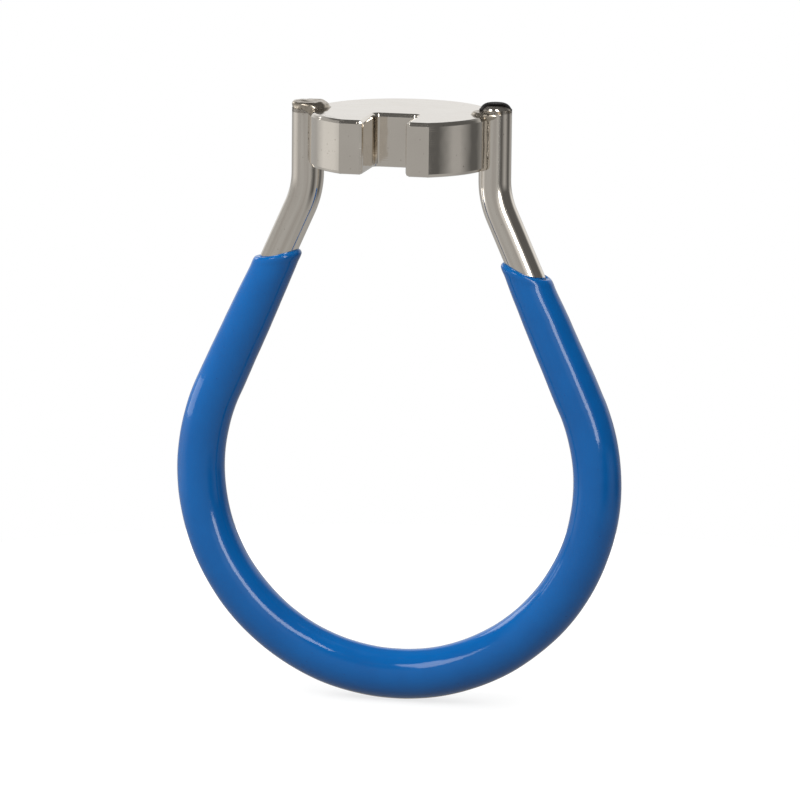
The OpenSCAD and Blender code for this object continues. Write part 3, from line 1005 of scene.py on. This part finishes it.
    def walls(self, colours):
        """Closed drum of plain walls, cloth and ceiling, which metal mirrors in place of the white floor
        and backdrop. The lower walls carry a pale card on the left and dark ones in front and behind on
        the right; the upper walls are grey on the left and dark on the right."""
        height, lift = 0.4, 0.0002
        bottom = CAD_BOX[0].z + lift
        deselect()
        bpy.ops.mesh.primitive_cylinder_add(vertices=128, radius=0.45, depth=height,
                                            location=(0, 0, bottom + height / 2))
        drum = bpy.context.object
        drum.name = "walls"
        bpy.ops.object.transform_apply(location=True, rotation=True, scale=True)
        material, tree = new_material("painted_walls")
        place = add_node(tree, "ShaderNodeTexCoord")
        turned = add_node(tree, "ShaderNodeMapping", {"Rotation": (0, 0, math.pi / 2)},
                          {"Vector": place.outputs["Object"]})
        about = add_node(tree, "ShaderNodeTexGradient", {"gradient_type": "RADIAL"},
                         {"Vector": turned.outputs[0]})
        low = self.painted_ring(tree, about, colours.grey_wall, (
            (-100, -80, colours.pale_card), (50, 60, colours.dark_card), (110, 120, colours.dark_card)))
        high = self.painted_ring(tree, about, colours.white_wall, (
            (-120, 0, colours.grey_wall), (60, 120, colours.dark_card)))
        spot = add_node(tree, "ShaderNodeSeparateXYZ", links={0: place.outputs["Object"]})
        flat = add_node(tree, "ShaderNodeCombineXYZ", links={0: spot.outputs["X"], 1: spot.outputs["Y"]})
        reach = add_node(tree, "ShaderNodeVectorMath", {"operation": "LENGTH"}, {0: flat.outputs[0]})
        off_cloth = add_node(tree, "ShaderNodeMapRange", {"From Min": 0.05, "From Max": 0.12},
                             {"Value": reach.outputs["Value"]})
        around = add_node(tree, "ShaderNodeMix", {"data_type": "RGBA", 6: colours.grey_wall},
                          {0: off_cloth.outputs[0], 7: low.outputs[0]})
        raised = add_node(tree, "ShaderNodeMapRange", {"From Min": -0.05, "From Max": 0.0},
                          {"Value": spot.outputs["Z"]})
        above = add_node(tree, "ShaderNodeMix", {"data_type": "RGBA"},
                         {0: raised.outputs[0], 6: around.outputs[2], 7: high.outputs[0]})
        overhead = add_node(tree, "ShaderNodeMapRange", {"From Min": 0.15, "From Max": 0.3},
                            {"Value": spot.outputs["Z"]})
        paint = add_node(tree, "ShaderNodeMix", {"data_type": "RGBA", 7: colours.ceiling},
                         {0: overhead.outputs[0], 6: above.outputs[2]})
        glow = add_node(tree, "ShaderNodeEmission", links={"Color": paint.outputs[2]})
        add_node(tree, "ShaderNodeOutputMaterial", links={"Surface": glow.outputs[0]})
        drum.data.materials.append(material)
        self.reflected_only(drum)

    def lamp(self, name, target, centre, top, size, level, distance=0.4):
        """Rectangular soft lamp that faces the object from one direction and points its length to
        another; its level is its own brightness."""
        back = self.towards(*centre)
        up = self.towards(*top)
        up = (up - back * up.dot(back)).normalized()
        deselect()
        bpy.ops.object.light_add(type="AREA", location=target + back * distance)
        lamp = bpy.context.object
        lamp.name = lamp.data.name = name
        lamp.visible_camera = False
        lamp.data.shape = "RECTANGLE"
        lamp.data.size, lamp.data.size_y = size
        lamp.data.energy = level * math.pi * size[0] * size[1]
        lamp.rotation_euler = Matrix((up.cross(back), up, back)).transposed().to_euler()

    def camera(self, context, target):
        """Long lens at the height and side from which the wrench is seen, turned a little."""
        azimuth, elevation, roll = 12.5, 10.5, 0.6
        distance, view_width = 0.62, 0.074
        back = self.towards(azimuth, elevation)
        deselect()
        bpy.ops.object.camera_add(location=target + back * distance)
        camera = context.object
        turn = back.to_track_quat("Z", "Y").to_matrix() @ Matrix.Rotation(math.radians(roll), 3, "Z")
        camera.rotation_euler = turn.to_euler()
        camera.data.lens = camera.data.sensor_width * distance / view_width
        camera.data.clip_start, camera.data.clip_end = 0.01, 10
        context.scene.camera = camera


class WRENCH_PT_panel(bpy.types.Panel):
    """Sizes, colours and pieces of the spoke wrench"""
    bl_label = "Spoke wrench"
    bl_idname = "WRENCH_PT_panel"
    bl_space_type = "VIEW_3D"
    bl_region_type = "UI"
    bl_category = "Spoke wrench"

    def draw(self, context):
        for group in (context.scene.wrench_sizes, context.scene.wrench_colours):
            box = self.layout.box()
            for name in group.__annotations__:
                box.prop(group, name)
        for operator in OPERATORS:
            self.layout.operator(operator.bl_idname)


OPERATORS = (WRENCH_OT_head, WRENCH_OT_wire, WRENCH_OT_coat, WRENCH_OT_braze, WRENCH_OT_stage)
CLASSES = (WrenchSizes, WrenchColours, *OPERATORS, WRENCH_PT_panel)


def register():
    for cls in CLASSES:
        bpy.utils.register_class(cls)
    bpy.types.Scene.wrench_sizes = bpy.props.PointerProperty(type=WrenchSizes)
    bpy.types.Scene.wrench_colours = bpy.props.PointerProperty(type=WrenchColours)


def unregister():
    del bpy.types.Scene.wrench_colours
    del bpy.types.Scene.wrench_sizes
    for cls in reversed(CLASSES):
        bpy.utils.unregister_class(cls)


def main():
    register()
    bpy.ops.wrench.head()
    bpy.ops.wrench.wire()
    bpy.ops.wrench.coat()
    bpy.ops.wrench.braze()
    bpy.ops.wrench.stage()


if __name__ == "__main__":
    main()
